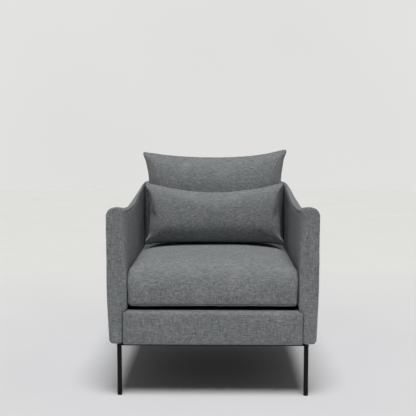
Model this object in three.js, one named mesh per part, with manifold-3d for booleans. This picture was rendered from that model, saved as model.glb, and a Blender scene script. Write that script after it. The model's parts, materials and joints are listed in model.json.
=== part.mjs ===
// An upholstered armchair on a slim steel base, with a loose seat cushion, a loose back cushion and
// a lumbar pillow. Units are millimetres, +Z is up and the front faces -Y. The origin is on the
// floor under the middle of the chair. "Left" is -X and "right" is +X, as seen from the front.

import * as THREE from "three";
import { mergeVertices } from "three/addons/utils/BufferGeometryUtils.js";
import Module from "manifold-3d";

const wasm = await Module();
wasm.setup();

// ---------------------------------------------------------------- driving dimensions

const DEPTH = 780;
const HALF_WIDTH = 360;
const FRONT = -DEPTH / 2;
const GAP = 0.4; // room between pieces that touch

// Steel base
const LEG_RADIUS = 8;
const LEG_WALL = 1.5;
const LEG_X = 321.5;
const LEG_FRONT_Y = FRONT + 20;
const LEG_REAR_Y = FRONT + 715;
const BASE_TOP = 181.5;
const BASE_RAIL_HEIGHT = 6;
const BASE_RAIL_WIDTH = 14;
const GLIDE_HEIGHT = 4;
const PLATE_SIZE = 110;
const PLATE_THICKNESS = 4;
const BOLT_RADIUS = 4;
const BOLT_X = 266;
const BOLT_FRONT_Y = FRONT + 63;
const BOLT_REAR_Y = FRONT + 652;

// Timber seat frame
const UPHOLSTERY_BOTTOM = BASE_TOP + 0.3;
const TIMBER_BOTTOM = UPHOLSTERY_BOTTOM + 1.6;
const TIMBER_TOP = 294.2;
const TIMBER_THICKNESS = 22;
const FRONT_RAIL_Y = FRONT + 8.4;
const REAR_RAIL_Y = FRONT + 692;
const POST_INNER_X = 259;
const POST_OUTER_X = 285.2;
const CORNER_BLOCK_SIZE = 70;
const CORNER_BLOCK_HEIGHT = 80;

// Upholstery around the frame
const APRON_HALF_WIDTH = 307.6;
const APRON_TOP = 298.7;
const DECK_TOP = 303;
const ARM_INNER_X = 293;
const ARM_LOWER_INNER_X = 308;
const ARM_PANEL_INNER_X = 318;
const ARM_PANEL_THICKNESS = 18;

// Back, which leans on its bottom rear edge
const BACK_BOTTOM_Y = FRONT + 735;
const BACK_SLANT_HEIGHT = 510;
const BACK_LEAN = Math.asin((DEPTH - 735) / BACK_SLANT_HEIGHT);
const BACK_COVER_THICKNESS = 18;
const BACK_FRAME_THICKNESS = 32;
const BACK_PAD_THICKNESS = 32;
const BACK_PAD_BOTTOM = 118;
const BACK_FRAME_TOP = 480;
const BACK_HALF_WIDTH = HALF_WIDTH - 5;

// Springs
const SPRING_XS = [-220, -110, 0, 110, 220];
const SPRING_WIRE_RADIUS = 1.9;
const SPRING_HALF_WIDTH = 25;
const SPRING_LEGS = 13;
const SPRING_Z = 285;
const SPRING_ARCH = 6;

// Loose cushions
const COVER_THICKNESS = 3;
const SEAT_CUSHION = {
  halfWidth: 291,
  front: FRONT + 5,
  rear: FRONT + 655,
  bottom: 303.6,
  top: 446,
  crown: 14,
  edgeRadius: 26,
};
const BACK_CUSHION = {
  width: 587,
  widening: 0.014,
  height: 374,
  thickness: 148,
  rim: 12,
  pinchSide: 0.085,
  pinchTop: 0.13,
};
const BACK_CUSHION_PLACE = { y: FRONT + 611, z: 641, lean: THREE.MathUtils.degToRad(9) };
const LUMBAR_PILLOW = {
  width: 548,
  widening: 0.008,
  height: 240,
  thickness: 122,
  rim: 12,
  pinchSide: 0.05,
  pinchTop: 0.24,
};
const LUMBAR_PILLOW_PLACE = { y: FRONT + 463, z: 582.5, lean: THREE.MathUtils.degToRad(12) };
const SEAT_ZIP = { length: 460, width: 7 };
const PILLOW_ZIP = { length: 340, width: 5 };

// ---------------------------------------------------------------- materials

function material(color, roughness, metalness = 0) {
  return new THREE.MeshStandardMaterial({ color, roughness, metalness });
}

const fabric = () => material(0x5d6164, 0.92);
const steel = () => material(0x17181a, 0.45, 0.6);
const zincSteel = () => material(0x9a9da0, 0.4, 0.9);
const springSteel = () => material(0x53565a, 0.35, 0.9);
const plastic = () => material(0x101011, 0.6);
const timber = () => material(0xb48d5f, 0.7);
const plywood = () => material(0xc7a676, 0.75);
const foam = () => material(0xe6dfc8, 0.95);
const lining = () => material(0x202124, 0.95);

// ---------------------------------------------------------------- geometry helpers

const chair = new THREE.Group();
const backGroup = new THREE.Group();
backGroup.position.set(0, BACK_BOTTOM_Y, UPHOLSTERY_BOTTOM);
backGroup.rotation.x = -BACK_LEAN;
chair.add(backGroup);

function addPiece(parent, name, geometry, look) {
  const mesh = new THREE.Mesh(geometry, look);
  mesh.name = name;
  parent.add(mesh);
  return mesh;
}

// A closed geometry as a solid that can be cut and joined.
function toSolid(geometry) {
  const plain = geometry.clone();
  plain.deleteAttribute("normal");
  plain.deleteAttribute("uv");
  const merged = mergeVertices(plain, 1e-4);
  const mesh = new wasm.Mesh({
    numProp: 3,
    vertProperties: merged.attributes.position.array,
    triVerts: new Uint32Array(merged.index.array),
  });
  return new wasm.Manifold(mesh);
}

function toGeometry(solid) {
  const mesh = solid.getMesh();
  const geometry = new THREE.BufferGeometry();
  geometry.setAttribute("position", new THREE.BufferAttribute(mesh.vertProperties, 3));
  geometry.setIndex(new THREE.BufferAttribute(mesh.triVerts, 1));
  return geometry;
}

function boxBetween(low, high) {
  const size = high.map((value, axis) => value - low[axis]);
  const middle = high.map((value, axis) => (value + low[axis]) / 2);
  return new THREE.BoxGeometry(...size).translate(...middle);
}

// An upright prism: a shape in XY pushed up from bottom to top.
function prismUp(shape, bottom, top, curveSegments = 12) {
  const options = { depth: top - bottom, bevelEnabled: false, curveSegments };
  return new THREE.ExtrudeGeometry(shape, options).translate(0, 0, bottom);
}

// A prism along X: a shape in (y, z) pushed from x = low to x = high.
function prismAlongX(shape, low, high, curveSegments = 8) {
  const geometry = prismUp(shape, low, high, curveSegments);
  const swapAxes = new THREE.Matrix4().set(0, 0, 1, 0, 1, 0, 0, 0, 0, 1, 0, 0, 0, 0, 0, 1);
  return geometry.applyMatrix4(swapAxes);
}

// A prism along Y: a shape in (x, z) pushed from y = front to y = rear.
function prismAlongY(shape, front, rear, curveSegments = 8) {
  return prismUp(shape, -rear, -front, curveSegments).rotateX(Math.PI / 2);
}

const polygon = (points) => new THREE.Shape(points.map(([x, y]) => new THREE.Vector2(x, y)));

function disc(x, y, radius) {
  return new THREE.Shape().absarc(x, y, radius, 0, 2 * Math.PI, false);
}

function upright(shape, x, y, bottom, top, segments) {
  return prismUp(shape, bottom, top, segments).translate(x, y, 0);
}

// Names and signs of the four corners and the two sides, so that one function makes them all.
const SIDES = [
  { side: "left", sign: -1 },
  { side: "right", sign: 1 },
];
const CORNERS = SIDES.flatMap(({ side, sign }) => [
  { corner: `front_${side}`, signX: sign, signY: 1, legY: LEG_FRONT_Y, boltY: BOLT_FRONT_Y },
  { corner: `rear_${side}`, signX: sign, signY: -1, legY: LEG_REAR_Y, boltY: BOLT_REAR_Y },
]);

// ---------------------------------------------------------------- steel base

function addLeg({ corner, signX, legY }) {
  const section = disc(0, 0, LEG_RADIUS);
  section.holes.push(disc(0, 0, LEG_RADIUS - LEG_WALL));
  const tube = upright(section, signX * LEG_X, legY, GLIDE_HEIGHT, BASE_TOP, 10);
  addPiece(chair, `leg_${corner}`, tube, steel());
}

// A plastic foot with a stem that plugs the tube.
function addGlide({ corner, signX, legY }) {
  const stemRadius = LEG_RADIUS - LEG_WALL - GAP;
  const shoulder = GLIDE_HEIGHT - GAP;
  const profile = [
    [0, 0],
    [LEG_RADIUS - 2, 0],
    [LEG_RADIUS - 0.6, 0.6],
    [LEG_RADIUS, 2],
    [LEG_RADIUS, shoulder],
    [stemRadius, shoulder],
    [stemRadius, 18],
    [0, 18],
  ].map(([radius, height]) => new THREE.Vector2(radius, height));
  const glide = new THREE.LatheGeometry(profile, 16).rotateX(Math.PI / 2).translate(signX * LEG_X, legY, 0);
  addPiece(chair, `leg_glide_${corner}`, glide, plastic());
}

// A flat bar whose ends are coped to the leg tubes.
function addBaseRail(name, low, high) {
  let bar = toSolid(boxBetween(low, high));
  for (const { signX, legY } of CORNERS) {
    const cope = upright(disc(0, 0, LEG_RADIUS + GAP), signX * LEG_X, legY, 0, 2 * BASE_TOP, 10);
    bar = bar.subtract(toSolid(cope));
  }
  addPiece(chair, name, toGeometry(bar), steel());
}

function addBaseRails() {
  const half = BASE_RAIL_WIDTH / 2;
  const bottom = BASE_TOP - BASE_RAIL_HEIGHT;
  const crossRails = [
    ["base_rail_front", LEG_FRONT_Y],
    ["base_rail_rear", LEG_REAR_Y],
  ];
  for (const [name, y] of crossRails) {
    addBaseRail(name, [-LEG_X + half, y - half, bottom], [LEG_X - half, y + half, BASE_TOP]);
  }
  for (const { side, sign } of SIDES) {
    const x = sign * LEG_X;
    const low = [x - half, LEG_FRONT_Y + half, bottom];
    addBaseRail(`base_rail_${side}`, low, [x + half, LEG_REAR_Y - half, BASE_TOP]);
  }
}

// The plate's outline, from the corner of the base towards the middle of the chair.
function plateOutline({ signX, signY, legY, boltY }) {
  const edge = BASE_RAIL_WIDTH / 2 + GAP;
  const cornerX = signX * (LEG_X - edge);
  const cornerY = legY + signY * edge;
  const nose = 14;
  const place = ([along, inward]) => [cornerX - signX * along, cornerY + signY * inward];
  const outline = [
    [0, 0],
    [PLATE_SIZE, 0],
    [PLATE_SIZE, nose],
    [nose, PLATE_SIZE],
    [0, PLATE_SIZE],
  ].map(place);
  const shape = polygon(outline);
  shape.holes.push(disc(signX * BOLT_X, boltY, BOLT_RADIUS + GAP));
  return shape;
}

function addMountingPlate(place) {
  const plate = prismUp(plateOutline(place), BASE_TOP - PLATE_THICKNESS, BASE_TOP, 6);
  addPiece(chair, `mounting_plate_${place.corner}`, plate, steel());
}

function addPlateBolt({ corner, signX, boltY }) {
  const headTop = BASE_TOP - PLATE_THICKNESS - GAP;
  const head = upright(disc(0, 0, 7.5), signX * BOLT_X, boltY, headTop - 5.3, headTop, 3);
  const shank = upright(disc(0, 0, BOLT_RADIUS), signX * BOLT_X, boltY, headTop - 1, TIMBER_BOTTOM + 45, 6);
  const bolt = toSolid(head).add(toSolid(shank));
  addPiece(chair, `plate_bolt_${corner}`, toGeometry(bolt), zincSteel());
}

// ---------------------------------------------------------------- timber frame

function addSeatRails() {
  const frontRail = boxBetween(
    [-APRON_HALF_WIDTH, FRONT_RAIL_Y, TIMBER_BOTTOM],
    [APRON_HALF_WIDTH, FRONT_RAIL_Y + TIMBER_THICKNESS, TIMBER_TOP],
  );
  addPiece(chair, "seat_rail_front", frontRail, timber());
  const rearRail = boxBetween(
    [-POST_INNER_X + GAP, REAR_RAIL_Y, TIMBER_BOTTOM],
    [POST_INNER_X - GAP, REAR_RAIL_Y + TIMBER_THICKNESS, TIMBER_TOP],
  );
  addPiece(chair, "seat_rail_rear", rearRail, timber());
  for (const { side, sign } of SIDES) {
    const outer = APRON_HALF_WIDTH;
    const inner = outer - TIMBER_THICKNESS;
    const low = [Math.min(sign * inner, sign * outer), FRONT_RAIL_Y + TIMBER_THICKNESS + GAP, TIMBER_BOTTOM];
    const high = [Math.max(sign * inner, sign * outer), REAR_RAIL_Y + TIMBER_THICKNESS, TIMBER_TOP];
    addPiece(chair, `seat_rail_${side}`, boxBetween(low, high), timber());
  }
}

// A triangular block glued into a corner of the seat frame, drilled for the base's bolt.
function addCornerBlock({ corner, signX, signY, boltY }) {
  const cornerX = signX * (APRON_HALF_WIDTH - TIMBER_THICKNESS - GAP);
  const frontFace = FRONT_RAIL_Y + TIMBER_THICKNESS + GAP;
  const cornerY = signY > 0 ? frontFace : REAR_RAIL_Y - 7.6;
  const outline = [
    [cornerX, cornerY],
    [cornerX - signX * CORNER_BLOCK_SIZE, cornerY],
    [cornerX, cornerY + signY * CORNER_BLOCK_SIZE],
  ];
  const shape = polygon(outline);
  shape.holes.push(disc(signX * BOLT_X, boltY, BOLT_RADIUS + GAP));
  const block = prismUp(shape, TIMBER_BOTTOM, TIMBER_BOTTOM + CORNER_BLOCK_HEIGHT, 6);
  addPiece(chair, `corner_block_${corner}`, block, timber());
}

// The plywood side of an arm, as an outline in (y, z). grow widens it for the pocket it sits in.
function armPanelShape(grow) {
  const bottom = TIMBER_BOTTOM - grow;
  const frontEdge = FRONT + 14 - grow;
  return polygon([
    [frontEdge, bottom],
    [FRONT + 700 + grow, bottom],
    [FRONT + 736 + grow, 575 + grow],
    [FRONT + 300, 580 + grow],
    [FRONT + 90, 618 + grow],
    [frontEdge, 618 + grow],
  ]);
}

function armPanelSolid(sign, grow) {
  const inner = ARM_PANEL_INNER_X - grow;
  const outer = ARM_PANEL_INNER_X + ARM_PANEL_THICKNESS + grow;
  const low = Math.min(sign * inner, sign * outer);
  const high = Math.max(sign * inner, sign * outer);
  return prismAlongX(armPanelShape(grow), low, high);
}

function addArmPanels() {
  for (const { side, sign } of SIDES) {
    addPiece(chair, `arm_panel_${side}`, armPanelSolid(sign, 0), plywood());
  }
}

function addBackFrame() {
  const rear = -BACK_COVER_THICKNESS - GAP;
  const front = rear - BACK_FRAME_THICKNESS;
  const postBottom = 1;
  const railBottom = BACK_FRAME_TOP - 40;
  for (const { side, sign } of SIDES) {
    const low = [Math.min(sign * POST_INNER_X, sign * POST_OUTER_X), front, postBottom];
    const high = [Math.max(sign * POST_INNER_X, sign * POST_OUTER_X), rear, BACK_FRAME_TOP];
    addPiece(backGroup, `back_post_${side}`, boxBetween(low, high), timber());
  }
  const halfLength = POST_INNER_X - GAP;
  const topRail = boxBetween([-halfLength, front, railBottom], [halfLength, rear, BACK_FRAME_TOP]);
  addPiece(backGroup, "back_top_rail", topRail, timber());
}

// ---------------------------------------------------------------- seat suspension

// A sinuous wire: straight legs across the seat, joined by turns at alternate ends.
function springPath(x) {
  const first = FRONT_RAIL_Y + TIMBER_THICKNESS + 7;
  const last = REAR_RAIL_Y - 7;
  const pitch = (last - first) / (SPRING_LEGS - 1);
  const points = [];
  for (let leg = 0; leg < SPRING_LEGS; leg += 1) {
    const y = first + leg * pitch;
    const z = SPRING_Z + SPRING_ARCH * Math.sin((Math.PI * leg) / (SPRING_LEGS - 1));
    const direction = leg % 2 === 0 ? 1 : -1;
    const reach = direction * SPRING_HALF_WIDTH * 0.8;
    points.push(new THREE.Vector3(x - reach, y, z), new THREE.Vector3(x + reach, y, z));
  }
  return new THREE.CatmullRomCurve3(points, false, "centripetal");
}

function addSprings() {
  const wire = disc(0, 0, SPRING_WIRE_RADIUS);
  SPRING_XS.forEach((x, index) => {
    const steps = 4 * SPRING_LEGS;
    const options = { extrudePath: springPath(x), steps, curveSegments: 3, bevelEnabled: false };
    addPiece(chair, `seat_spring_${index + 1}`, new THREE.ExtrudeGeometry(wire, options), springSteel());
  });
}

// A steel strip on the rail's inner face, folded into a channel that holds the ends of the springs.
function addClipStrip(name, railFace, inward) {
  const wall = 1.6;
  const lip = 11;
  const room = SPRING_WIRE_RADIUS + 0.5;
  const y = (distance) => railFace + inward * (GAP + distance);
  const outline = [
    [y(0), SPRING_Z - room - wall],
    [y(lip), SPRING_Z - room - wall],
    [y(lip), SPRING_Z - room],
    [y(wall), SPRING_Z - room],
    [y(wall), SPRING_Z + room],
    [y(lip), SPRING_Z + room],
    [y(lip), SPRING_Z + room + wall],
    [y(0), SPRING_Z + room + wall],
  ];
  addPiece(chair, name, prismAlongX(polygon(outline), -252, 252), zincSteel());
}

// ---------------------------------------------------------------- fixed upholstery

// The fabric-covered board between the arms, with a lip over the top of the front rail.
function addFrontApron() {
  const face = FRONT_RAIL_Y - GAP;
  const lipRear = FRONT_RAIL_Y + TIMBER_THICKNESS + GAP;
  const outline = [
    [FRONT, UPHOLSTERY_BOTTOM],
    [face, UPHOLSTERY_BOTTOM],
    [face, TIMBER_TOP + GAP],
    [lipRear, TIMBER_TOP + GAP],
    [lipRear, APRON_TOP],
    [FRONT + 3, APRON_TOP],
    [FRONT, APRON_TOP - 3],
  ];
  const apron = prismAlongX(polygon(outline), -APRON_HALF_WIDTH, APRON_HALF_WIDTH);
  addPiece(chair, "front_apron", apron, fabric());
}

// The arm's cross-section at a few depths, from the front (0) to the back cover (1). The seam is
// the top of the inner face and the shoulder is the top of the outer face. The handles, measured
// from them, shape the curve over the top.
const ARM_SECTIONS = [
  {
    depth: 0,
    outerX: HALF_WIDTH,
    shoulder: 620,
    seam: 641,
    outerHandle: [0, 48],
    innerHandle: [3, 23],
  },
  {
    depth: 0.42,
    outerX: HALF_WIDTH - 1,
    shoulder: 585,
    seam: 646,
    outerHandle: [-14, 27],
    innerHandle: [7, 8],
  },
  {
    depth: 0.75,
    outerX: HALF_WIDTH - 3,
    shoulder: 565,
    seam: 668,
    outerHandle: [-16, 44],
    innerHandle: [10, 7],
  },
  {
    depth: 1,
    outerX: BACK_HALF_WIDTH,
    shoulder: 560,
    seam: 690,
    outerHandle: [-16, 52],
    innerHandle: [11, 7],
  },
];

function mixSections(depth) {
  const next = Math.max(1, ARM_SECTIONS.findIndex((section) => section.depth >= depth));
  const [a, b] = [ARM_SECTIONS[next - 1], ARM_SECTIONS[next]];
  const share = (depth - a.depth) / (b.depth - a.depth);
  const mix = (key) => THREE.MathUtils.lerp(a[key], b[key], share);
  const mixPair = (key) => a[key].map((value, axis) => THREE.MathUtils.lerp(value, b[key][axis], share));
  return {
    outerX: mix("outerX"),
    shoulder: mix("shoulder"),
    seam: mix("seam"),
    outerHandle: mixPair("outerHandle"),
    innerHandle: mixPair("innerHandle"),
  };
}

// The section's outline in (x, z): the foot rounds under, and the lower part tapers in a little.
function armSectionPoints(depth) {
  const { outerX, shoulder, seam, outerHandle, innerHandle } = mixSections(depth);
  const outline = new THREE.Path();
  outline.moveTo(ARM_LOWER_INNER_X, UPHOLSTERY_BOTTOM);
  outline.lineTo(342, UPHOLSTERY_BOTTOM);
  outline.quadraticCurveTo(outerX - 8, UPHOLSTERY_BOTTOM + 2, outerX - 7, 222);
  outline.quadraticCurveTo(outerX - 3, 320, outerX, 440);
  outline.lineTo(outerX, shoulder);
  outline.bezierCurveTo(
    outerX + outerHandle[0],
    shoulder + outerHandle[1],
    ARM_INNER_X + innerHandle[0],
    seam + innerHandle[1],
    ARM_INNER_X,
    seam,
  );
  outline.lineTo(ARM_INNER_X, APRON_TOP + GAP);
  outline.lineTo(ARM_LOWER_INNER_X, APRON_TOP + GAP);
  return outline.getPoints(7);
}

// The depth, from the arm's front, of the plane where the arm meets the back cover.
function armRearDepth(z) {
  const start = BACK_BOTTOM_Y - FRONT - (BACK_COVER_THICKNESS + GAP) / Math.cos(BACK_LEAN);
  return start + (z - UPHOLSTERY_BOTTOM) * Math.tan(BACK_LEAN);
}

// Joins outlines of equal length into one closed skin, with flat ends.
function loft(rings) {
  const count = rings[0].length;
  const positions = rings.flat().flatMap((point) => point.toArray());
  const indices = [];
  for (let ring = 0; ring < rings.length - 1; ring += 1) {
    for (let i = 0; i < count; i += 1) {
      const a = ring * count + i;
      const b = ring * count + ((i + 1) % count);
      indices.push(a, a + count, b, b, a + count, b + count);
    }
  }
  const flat = rings[0].map((point) => new THREE.Vector2(point.x, point.z));
  const lastStart = (rings.length - 1) * count;
  for (const [a, b, c] of THREE.ShapeUtils.triangulateShape(flat, [])) {
    indices.push(a, b, c, lastStart + a, lastStart + c, lastStart + b);
  }
  const geometry = new THREE.BufferGeometry();
  geometry.setAttribute("position", new THREE.Float32BufferAttribute(positions, 3));
  geometry.setIndex(indices);
  return geometry;
}

function rightArmGeometry() {
  const steps = 12;
  const rings = [];
  for (let step = 0; step <= steps; step += 1) {
    const depth = step / steps;
    const ring = armSectionPoints(depth).map(
      (point) => new THREE.Vector3(point.x, FRONT + depth * armRearDepth(point.y), point.y),
    );
    rings.push(ring);
  }
  return loft(rings);
}

// Foam and fabric around the arm panel, which fits a pocket that opens downwards.
function addArmUpholstery() {
  const rightArm = toSolid(rightArmGeometry());
  for (const { side, sign } of SIDES) {
    const arm = sign > 0 ? rightArm : rightArm.mirror([1, 0, 0]);
    const pocket = toSolid(armPanelSolid(sign, GAP));
    const slot = pocket.add(pocket.translate([0, 0, -4]));
    addPiece(chair, `arm_upholstery_${side}`, toGeometry(arm.subtract(slot)), fabric());
  }
}

// The back's outside cover follows the arms' shoulders up to the top edge.
function addBackOutsideCover() {
  const shoulder = 380;
  const topHalfWidth = 306;
  const outline = new THREE.Shape();
  outline.moveTo(-BACK_HALF_WIDTH + 12, 0);
  outline.lineTo(BACK_HALF_WIDTH - 12, 0);
  outline.quadraticCurveTo(BACK_HALF_WIDTH - 2, 2, BACK_HALF_WIDTH, 40);
  outline.lineTo(BACK_HALF_WIDTH, shoulder);
  outline.quadraticCurveTo(BACK_HALF_WIDTH - 10, shoulder + 45, topHalfWidth + 8, BACK_SLANT_HEIGHT - 14);
  outline.quadraticCurveTo(topHalfWidth, BACK_SLANT_HEIGHT, topHalfWidth - 12, BACK_SLANT_HEIGHT);
  outline.lineTo(-topHalfWidth + 12, BACK_SLANT_HEIGHT);
  outline.quadraticCurveTo(-topHalfWidth, BACK_SLANT_HEIGHT, -topHalfWidth - 8, BACK_SLANT_HEIGHT - 14);
  outline.quadraticCurveTo(-BACK_HALF_WIDTH + 10, shoulder + 45, -BACK_HALF_WIDTH, shoulder);
  outline.lineTo(-BACK_HALF_WIDTH, 40);
  outline.quadraticCurveTo(-BACK_HALF_WIDTH + 2, 2, -BACK_HALF_WIDTH + 12, 0);
  const cover = prismAlongY(outline, -BACK_COVER_THICKNESS, 0, 6);
  addPiece(backGroup, "back_outside_cover", cover, fabric());
}

// The padded face between the arms, behind the back cushion. Its top folds back over the top rail.
function addBackInsidePad() {
  const frameRear = -BACK_COVER_THICKNESS - GAP;
  const rear = frameRear - BACK_FRAME_THICKNESS - GAP;
  const front = rear - BACK_PAD_THICKNESS;
  const top = BACK_SLANT_HEIGHT - 4;
  const edge = 14;
  const section = new THREE.Shape();
  section.moveTo(front, BACK_PAD_BOTTOM);
  section.lineTo(rear, BACK_PAD_BOTTOM);
  section.lineTo(rear, BACK_FRAME_TOP + GAP);
  section.lineTo(frameRear, BACK_FRAME_TOP + GAP);
  section.lineTo(frameRear, top);
  section.lineTo(front + edge, top);
  section.quadraticCurveTo(front, top, front, top - edge);
  const pad = prismAlongX(section, -ARM_INNER_X + 0.6, ARM_INNER_X - 0.6, 4);
  addPiece(backGroup, "back_inside_pad", pad, fabric());
}

// The pad under the seat cushion lies on the rails and the springs.
function addDeckPad() {
  const frontEdge = FRONT_RAIL_Y + TIMBER_THICKNESS + 2 * GAP;
  const rearEdge = REAR_RAIL_Y - 2;
  const halfWidth = ARM_INNER_X - 0.6;
  const pad = boxBetween([-halfWidth, frontEdge, TIMBER_TOP + GAP], [halfWidth, rearEdge, DECK_TOP]);
  addPiece(chair, "deck_pad", pad, lining());
}

function addDustCover() {
  const frontEdge = FRONT_RAIL_Y;
  const rearEdge = REAR_RAIL_Y + TIMBER_THICKNESS;
  const sheet = polygon([
    [-APRON_HALF_WIDTH, frontEdge],
    [APRON_HALF_WIDTH, frontEdge],
    [APRON_HALF_WIDTH, rearEdge],
    [-APRON_HALF_WIDTH, rearEdge],
  ]);
  for (const { signX, boltY } of CORNERS) {
    sheet.holes.push(disc(signX * BOLT_X, boltY, BOLT_RADIUS + 1));
  }
  const bottom = UPHOLSTERY_BOTTOM + 0.1;
  addPiece(chair, "dust_cover", prismUp(sheet, bottom, bottom + 1, 6), lining());
}

// ---------------------------------------------------------------- loose cushions

// A box cushion with rounded edges and a crowned top. inset shrinks it on every side.
function boxCushionGeometry(inset) {
  const { halfWidth, front, rear, bottom, top, crown, edgeRadius } = SEAT_CUSHION;
  const half = new THREE.Vector3(halfWidth - inset, (rear - front) / 2 - inset, (top - bottom) / 2 - inset);
  const round = edgeRadius - inset;
  const geometry = new THREE.BoxGeometry(2, 2, 2, 8, 8, 4);
  const positions = geometry.attributes.position;
  const point = new THREE.Vector3();
  const core = new THREE.Vector3();
  const limit = half.clone().subScalar(round);
  for (let i = 0; i < positions.count; i += 1) {
    point.fromBufferAttribute(positions, i);
    const rise = crown * (1 - point.x ** 2) * (1 - point.y ** 2) * Math.max(0, point.z);
    point.multiply(half);
    core.copy(point).clamp(limit.clone().negate(), limit);
    point.sub(core).setLength(round).add(core);
    positions.setXYZ(i, point.x, point.y, point.z + rise);
  }
  return geometry.translate(0, (front + rear) / 2, (bottom + top) / 2);
}

// A knife-edge cushion: two crowned faces that meet at a thin rim. The sides and the top pull in
// between the corners, and the bottom, where the zip is, stays straight. It widens towards the top.
function pillowGeometry({ width, widening, height, thickness, rim, pinchSide, pinchTop }, inset) {
  const edgeInset = 2.4 * inset;
  const halfRim = rim / 2 - inset;
  const halfSwell = (thickness - rim) / 2;
  const geometry = new THREE.BoxGeometry(2, 2, 2, 12, 1, 6);
  const positions = geometry.attributes.position;
  for (let i = 0; i < positions.count; i += 1) {
    const u = positions.getX(i);
    const v = positions.getZ(i);
    const halfWidth = (width / 2) * (1 + widening * v) - edgeInset;
    const x = u * halfWidth * (1 - pinchSide * (1 - v ** 2));
    const top = height / 2 - height * pinchTop * 0.5 * (1 - u ** 2);
    const z = v > 0 ? v * (top - edgeInset) : v * (height / 2 - edgeInset);
    const swell = halfSwell * Math.sqrt((1 - u ** 4) * (1 - v ** 2));
    positions.setXYZ(i, x, positions.getY(i) * (halfRim + swell), z);
  }
  return geometry;
}

// Adds the cover, the zip let into it, the filling and the zip's slider to a cushion's group.
function addCushionPieces(group, name, makeGeometry, slab, zipSlab, filling) {
  const shell = toSolid(makeGeometry(0)).subtract(toSolid(makeGeometry(COVER_THICKNESS)));
  addPiece(group, `${name}_cover`, toGeometry(shell.subtract(toSolid(slab))), fabric());
  addPiece(group, `${name}_zip`, toGeometry(shell.intersect(toSolid(zipSlab))), lining());
  addPiece(group, `${name}_${filling}`, makeGeometry(COVER_THICKNESS + GAP), foam());
}

// A zip slider with its pull tab. outward is -Z here, and the tab lies along the zip.
function sliderGeometry() {
  const body = boxBetween([-6, -4, -3], [6, 4, 0]);
  const tab = boxBetween([3, -2.5, -2.4], [22, 2.5, -1.2]);
  return toGeometry(toSolid(body).add(toSolid(tab)));
}

function addSeatCushion() {
  const group = new THREE.Group();
  chair.add(group);
  const { rear, bottom, top } = SEAT_CUSHION;
  const middle = (bottom + top) / 2;
  const zipBox = (grow) => {
    const halfLength = SEAT_ZIP.length / 2 + grow;
    const halfWidth = SEAT_ZIP.width / 2 + grow;
    const low = [-halfLength, rear - 20, middle - halfWidth];
    return boxBetween(low, [halfLength, rear + 20, middle + halfWidth]);
  };
  addCushionPieces(group, "seat_cushion", boxCushionGeometry, zipBox(GAP), zipBox(0), "foam");
  const slider = sliderGeometry().rotateX(Math.PI / 2);
  slider.translate(-SEAT_ZIP.length / 2 + 8, rear + GAP, middle);
  addPiece(group, "seat_cushion_slider", slider, zincSteel());
}

function addPillow(name, dimensions, place, filling) {
  const group = new THREE.Group();
  group.position.set(0, place.y, place.z);
  group.rotation.x = -place.lean;
  chair.add(group);
  const bottom = -dimensions.height / 2;
  const zipBox = (grow) => {
    const halfLength = PILLOW_ZIP.length / 2 + grow;
    const halfWidth = PILLOW_ZIP.width / 2 + grow;
    return boxBetween([-halfLength, -halfWidth, bottom - 20], [halfLength, halfWidth, bottom + 30]);
  };
  const makeGeometry = (inset) => pillowGeometry(dimensions, inset);
  addCushionPieces(group, name, makeGeometry, zipBox(GAP), zipBox(0), filling);
  const slider = sliderGeometry().translate(-PILLOW_ZIP.length / 2 + 8, 0, bottom - GAP);
  addPiece(group, `${name}_slider`, slider, zincSteel());
}

// ---------------------------------------------------------------- the whole chair

for (const place of CORNERS) {
  addLeg(place);
  addGlide(place);
  addMountingPlate(place);
  addPlateBolt(place);
  addCornerBlock(place);
}
addBaseRails();
addSeatRails();
addArmPanels();
addBackFrame();
addSprings();
addClipStrip("spring_clip_strip_front", FRONT_RAIL_Y + TIMBER_THICKNESS, 1);
addClipStrip("spring_clip_strip_rear", REAR_RAIL_Y, -1);
addDeckPad();
addDustCover();
addFrontApron();
addArmUpholstery();
addBackOutsideCover();
addBackInsidePad();
addSeatCushion();
addPillow("back_cushion", BACK_CUSHION, BACK_CUSHION_PLACE, "filling");
addPillow("lumbar_pillow", LUMBAR_PILLOW, LUMBAR_PILLOW_PLACE, "filling");

export default chair;
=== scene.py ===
import json
import math

import bpy
import numpy as np
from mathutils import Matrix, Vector, kdtree, noise


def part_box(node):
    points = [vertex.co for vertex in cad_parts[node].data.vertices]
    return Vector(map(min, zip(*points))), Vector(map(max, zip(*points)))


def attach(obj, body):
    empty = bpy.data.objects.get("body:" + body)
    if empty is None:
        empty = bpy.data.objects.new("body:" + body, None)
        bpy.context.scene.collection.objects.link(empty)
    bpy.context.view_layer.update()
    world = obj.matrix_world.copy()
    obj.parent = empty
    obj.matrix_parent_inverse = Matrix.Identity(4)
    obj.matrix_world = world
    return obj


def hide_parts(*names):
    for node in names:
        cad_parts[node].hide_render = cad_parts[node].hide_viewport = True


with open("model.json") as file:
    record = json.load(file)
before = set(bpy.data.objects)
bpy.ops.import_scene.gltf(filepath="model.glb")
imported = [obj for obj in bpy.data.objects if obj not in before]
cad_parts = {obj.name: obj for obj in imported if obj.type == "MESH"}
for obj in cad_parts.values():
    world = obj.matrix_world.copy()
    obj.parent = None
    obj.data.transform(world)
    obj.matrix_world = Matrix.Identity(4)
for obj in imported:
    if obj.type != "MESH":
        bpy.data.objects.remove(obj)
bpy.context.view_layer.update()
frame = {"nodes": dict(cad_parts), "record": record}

# Everything is in metres, in the frame's axes: +Z is up and the chair faces -Y.
SIDES = (("left", -1), ("right", 1))
CORNERS = ("front_left", "front_right", "rear_left", "rear_right")

arm_low, arm_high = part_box("arm_upholstery_right")
apron_low, apron_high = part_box("front_apron")
cover_low, cover_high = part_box("back_outside_cover")
pad_low, pad_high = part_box("back_inside_pad")
seat_low, seat_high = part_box("seat_cushion_cover")
deck_low, deck_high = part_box("deck_pad")

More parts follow.
